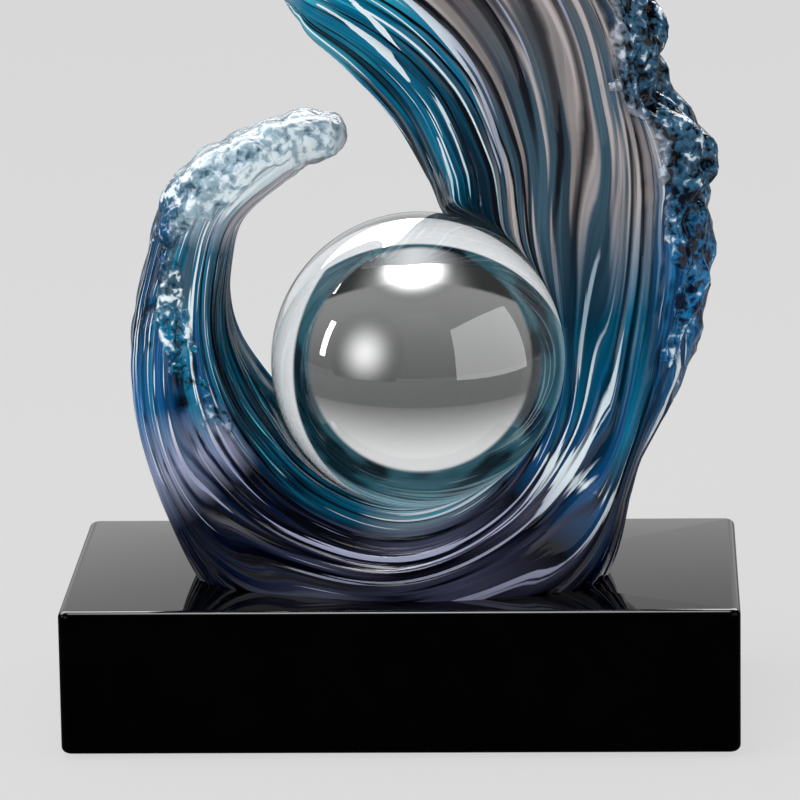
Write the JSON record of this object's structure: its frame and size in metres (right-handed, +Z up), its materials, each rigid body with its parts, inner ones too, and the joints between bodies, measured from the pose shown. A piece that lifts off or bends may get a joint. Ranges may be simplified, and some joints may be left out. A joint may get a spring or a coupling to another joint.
{
  "type": "resin wave sculpture",
  "caption": "Cast resin ocean wave that curls round a loose clear crystal ball, screwed from below to a polished black plinth on table pads. A shelf or desk ornament.",
  "frame": {"origin": "on the table, under the middle of the plinth", "axes": "+Z up, +X to the right of a viewer in front, +Y to the rear; the front of the sculpture faces -Y"},
  "size_m": [0.18, 0.1, 0.2521],
  "materials": {
    "black_resin": "polished",
    "tinted_resin": "polished, tinted clear",
    "crystal": "polished clear",
    "brass": "machined",
    "steel": "plated",
    "felt": "felt"
  },
  "bodies": {
    "base": {"plinth": "black_resin", "wave_casting": "tinted_resin", "threaded_insert_left": "brass", "threaded_insert_right": "brass", "fixing_screw_left": "steel", "fixing_screw_right": "steel", "washer_left": "steel", "washer_right": "steel", "table_pad_front_left": "felt", "table_pad_front_right": "felt", "table_pad_rear_left": "felt", "table_pad_rear_right": "felt"},
    "ball": {"crystal_ball": "crystal"}
  },
  "joints": [
    {"name": "ball_lift", "type": "slide", "parent": "base", "child": "ball", "axis": [-0.2346, -0.8754, 0.4226], "range_m": [0, 0.14]}
  ]
}
